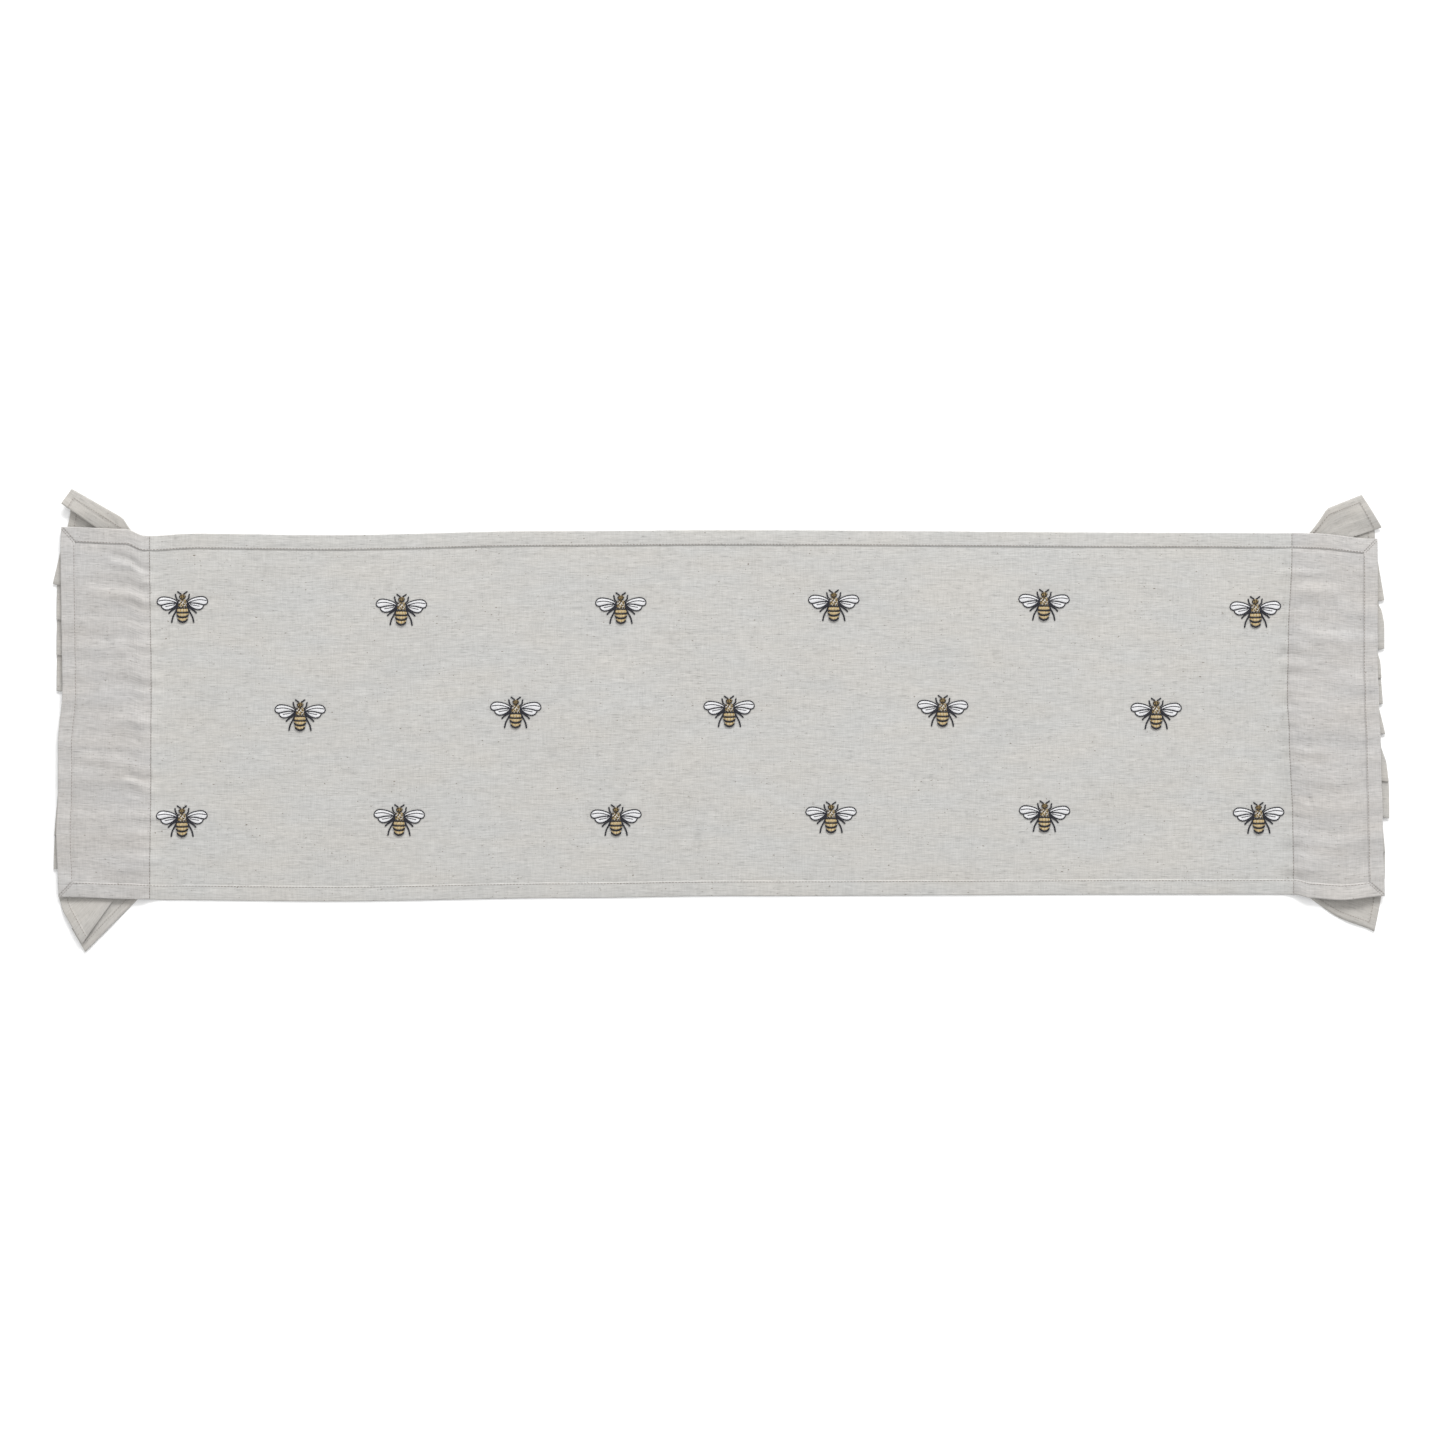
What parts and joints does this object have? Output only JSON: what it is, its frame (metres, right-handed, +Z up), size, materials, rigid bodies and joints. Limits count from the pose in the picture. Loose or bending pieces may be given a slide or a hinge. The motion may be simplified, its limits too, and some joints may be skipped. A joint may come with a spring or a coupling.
{
  "type": "table runner",
  "caption": "Long hemmed linen table runner with a gathered, hemmed ruffle sewn under each end and bees embroidered in staggered rows.",
  "frame": {"origin": "middle of the cloth's underside, where it rests on a table", "axes": "+X along the runner, +Y across it, +Z up out of the face with the bees"},
  "size_m": [1.234, 0.427, 0.0052],
  "materials": {
    "linen_cloth": "matte plain-weave linen and cotton",
    "sewing_thread": "matte spun sewing thread",
    "wing_thread": "satin-stitched embroidery thread, soft sheen",
    "body_thread": "satin-stitched embroidery thread, soft sheen"
  },
  "bodies": {
    "panel_body": {"bee_01_body": "body_thread", "bee_01_wings": "wing_thread", "bee_02_body": "body_thread", "bee_02_wings": "wing_thread", "bee_03_body": "body_thread", "bee_03_wings": "wing_thread", "bee_04_body": "body_thread", "bee_04_wings": "wing_thread", "bee_05_body": "body_thread", "bee_05_wings": "wing_thread", "bee_06_body": "body_thread", "bee_06_wings": "wing_thread", "bee_07_body": "body_thread", "bee_07_wings": "wing_thread", "bee_08_body": "body_thread", "bee_08_wings": "wing_thread", "bee_09_body": "body_thread", "bee_09_wings": "wing_thread", "bee_10_body": "body_thread", "bee_10_wings": "wing_thread", "bee_11_body": "body_thread", "bee_11_wings": "wing_thread", "bee_12_body": "body_thread", "bee_12_wings": "wing_thread", "bee_13_body": "body_thread", "bee_13_wings": "wing_thread", "bee_14_body": "body_thread", "bee_14_wings": "wing_thread", "bee_15_body": "body_thread", "bee_15_wings": "wing_thread", "bee_16_body": "body_thread", "bee_16_wings": "wing_thread", "bee_17_body": "body_thread", "bee_17_wings": "wing_thread", "left_seam_thread": "sewing_thread", "lower_hem_thread": "sewing_thread", "main_panel": "linen_cloth", "right_seam_thread": "sewing_thread", "upper_hem_thread": "sewing_thread"},
    "left_flap_body": {"left_flap": "linen_cloth", "left_flap_hem_thread": "sewing_thread", "left_lower_mitre_thread": "sewing_thread", "left_upper_mitre_thread": "sewing_thread"},
    "left_ruffle_body": {"left_gathering_thread": "sewing_thread", "left_ruffle": "linen_cloth", "left_ruffle_hem_thread": "sewing_thread"},
    "right_flap_body": {"right_flap": "linen_cloth", "right_flap_hem_thread": "sewing_thread", "right_lower_mitre_thread": "sewing_thread", "right_upper_mitre_thread": "sewing_thread"},
    "right_ruffle_body": {"right_gathering_thread": "sewing_thread", "right_ruffle": "linen_cloth", "right_ruffle_hem_thread": "sewing_thread"}
  },
  "joints": [
    {"name": "left_flap_hinge", "type": "hinge", "parent": "panel_body", "child": "left_flap_body", "pos_m": [-0.528, 0, 0.0007], "axis": [0, 1, 0], "range_deg": [-90, 135]},
    {"name": "right_flap_hinge", "type": "hinge", "parent": "panel_body", "child": "right_flap_body", "pos_m": [0.528, 0, 0.0007], "axis": [0, -1, 0], "range_deg": [-90, 135]},
    {"name": "left_ruffle_hinge", "type": "hinge", "parent": "left_flap_body", "child": "left_ruffle_body", "pos_m": [-0.528, 0, 0.0007], "axis": [0, -1, 0], "range_deg": [0, 60]},
    {"name": "right_ruffle_hinge", "type": "hinge", "parent": "right_flap_body", "child": "right_ruffle_body", "pos_m": [0.528, 0, 0.0007], "axis": [0, 1, 0], "range_deg": [0, 60]}
  ]
}
